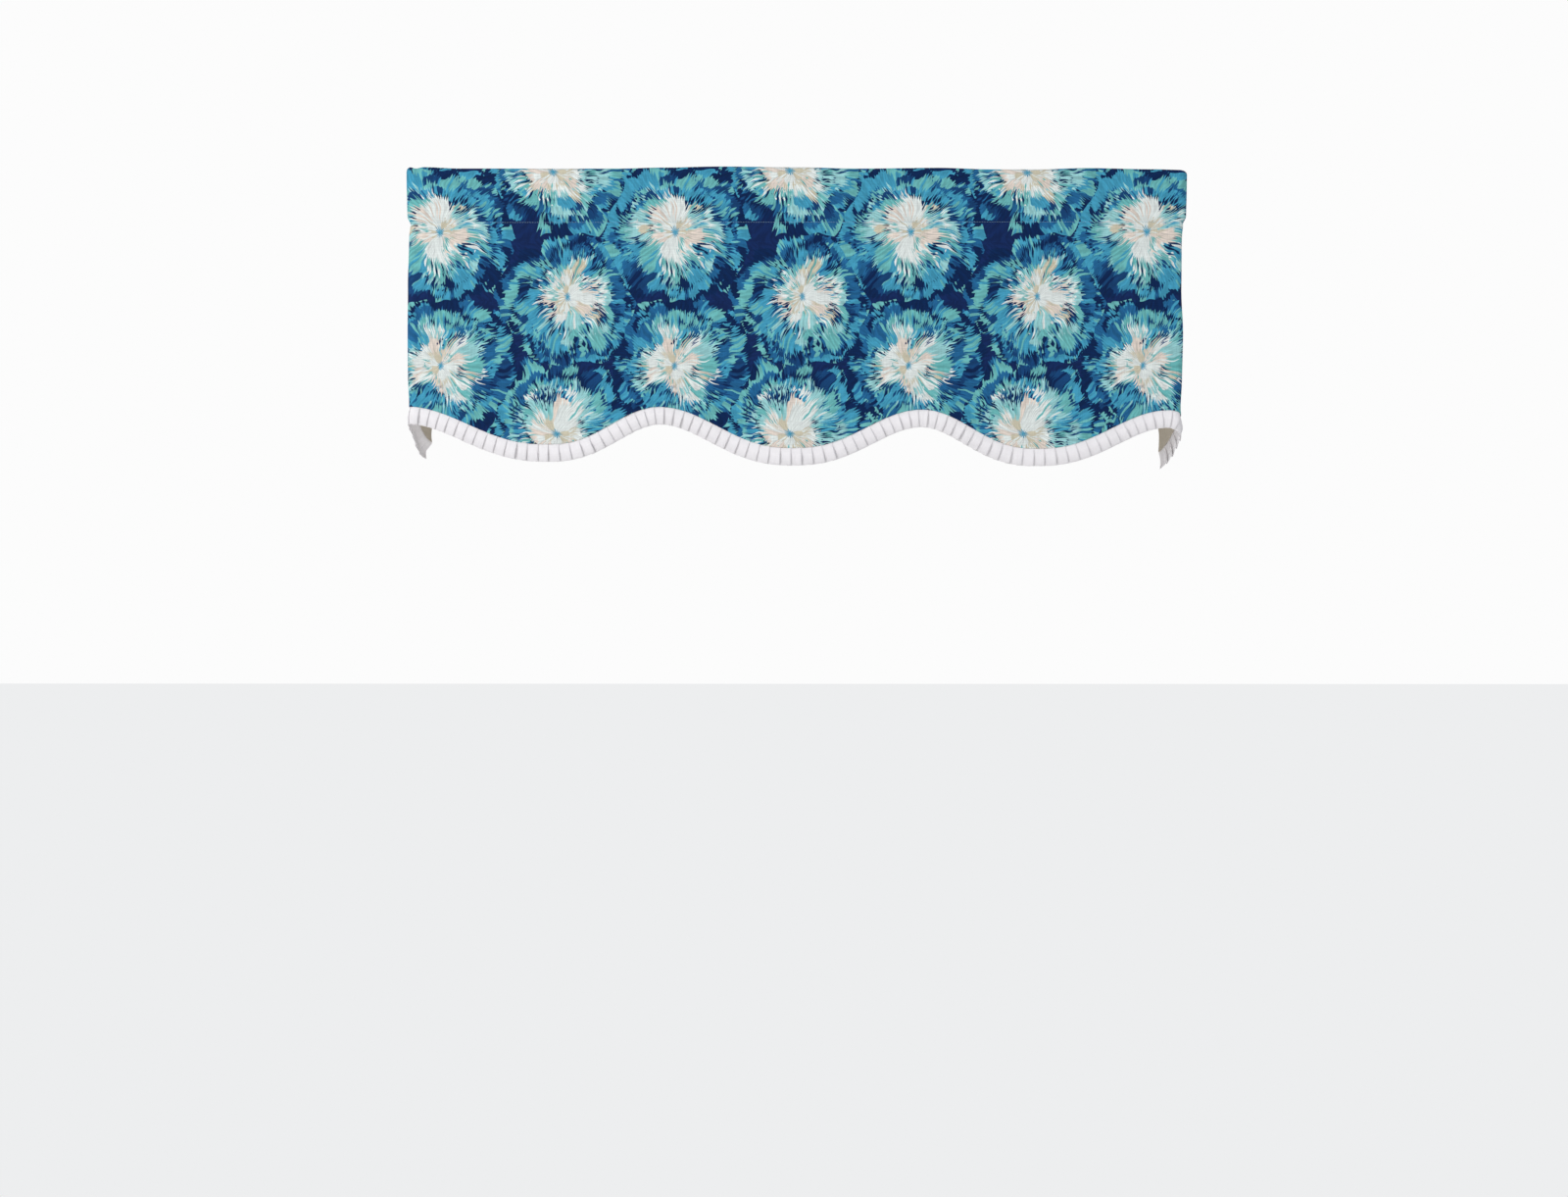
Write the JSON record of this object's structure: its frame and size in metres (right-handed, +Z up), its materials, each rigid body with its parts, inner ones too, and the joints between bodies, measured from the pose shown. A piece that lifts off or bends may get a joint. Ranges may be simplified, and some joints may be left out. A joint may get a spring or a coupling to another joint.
{
  "type": "window valance",
  "caption": "Scalloped window valance of printed cloth, with a flat rod pocket, returns, a lining and a knife-pleated white edging.",
  "frame": {"origin": "middle of the top edge, in the mid-plane of the rod pocket", "axes": "+X along the front to the viewer's right, +Y back towards the wall, +Z up"},
  "size_m": [1.1328, 0.091, 0.4268],
  "materials": {
    "printed_cotton": "matt printed cotton, blues, teal and cream",
    "lining_cloth": "matt off-white lining",
    "white_cotton": "matt white pressed pleats"
  },
  "bodies": {
    "root": {"face_cloth": "printed_cotton", "lining": "lining_cloth", "pleated_trim": "white_cotton"}
  },
  "joints": []
}
